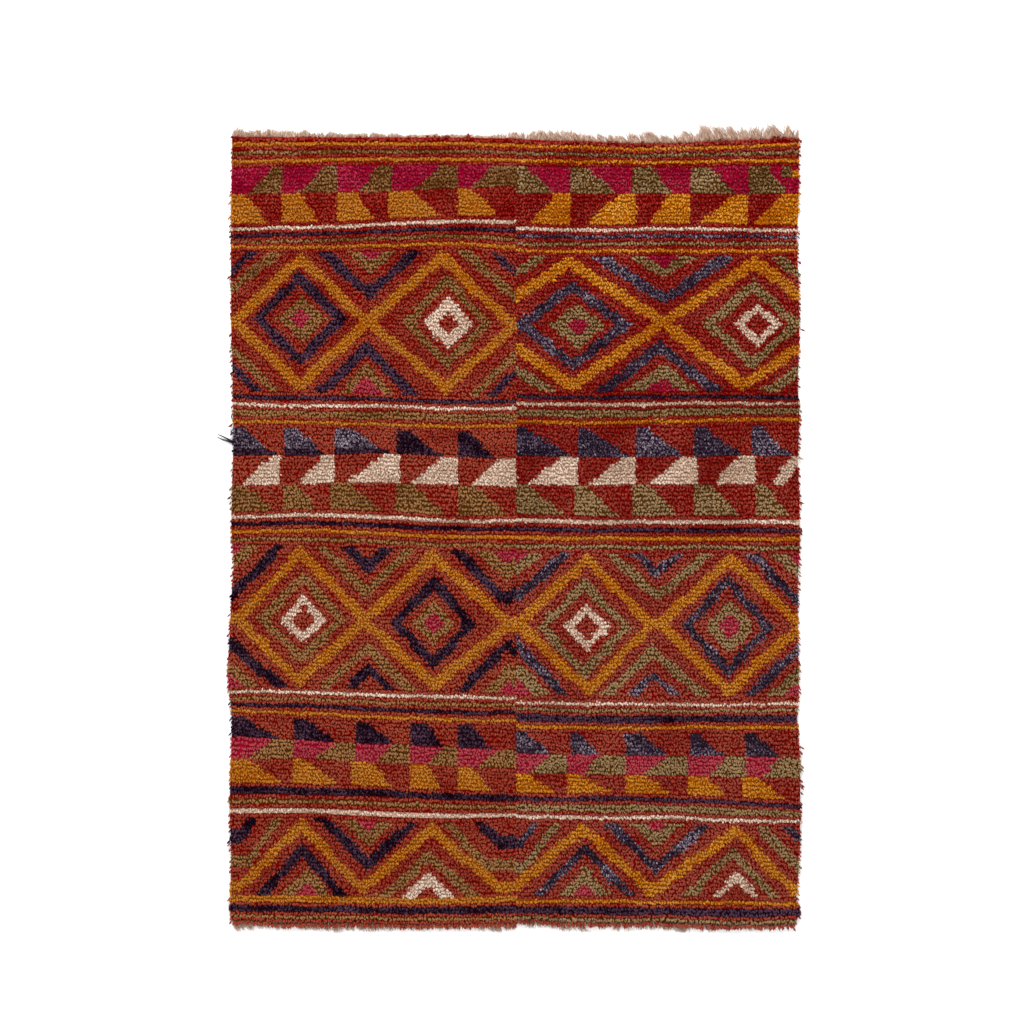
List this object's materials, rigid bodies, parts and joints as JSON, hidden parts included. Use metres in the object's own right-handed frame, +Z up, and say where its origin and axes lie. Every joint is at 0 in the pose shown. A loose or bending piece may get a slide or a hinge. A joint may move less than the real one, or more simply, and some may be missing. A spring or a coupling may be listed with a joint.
{
  "type": "tulu rug",
  "caption": "Flat hand-knotted wool rug with shaggy pile, sewn from narrow strips side by side, with short undyed warp fringe at both ends.",
  "frame": {"origin": "middle of the rug's footprint, on the floor it lies on", "axes": "+X across the rug, from the left strip to the right strip; +Y along the rug, towards the end with the longer fringe; +Z up out of the pile"},
  "size_m": [1.2934, 1.8156, 0.0178],
  "materials": {
    "madder_wool": "matte",
    "crimson_wool": "matte",
    "saffron_wool": "matte",
    "olive_wool": "matte",
    "indigo_wool": "matte",
    "slate_wool": "matte",
    "raspberry_wool": "matte",
    "ivory_wool": "matte",
    "undyed_warp": "matte"
  },
  "bodies": {
    "root": {"panel_left": "madder_wool", "panel_right": "crimson_wool", "fringe_top_left": "undyed_warp", "fringe_top_right": "undyed_warp", "fringe_foot_left": "undyed_warp", "fringe_foot_right": "undyed_warp"}
  },
  "joints": []
}
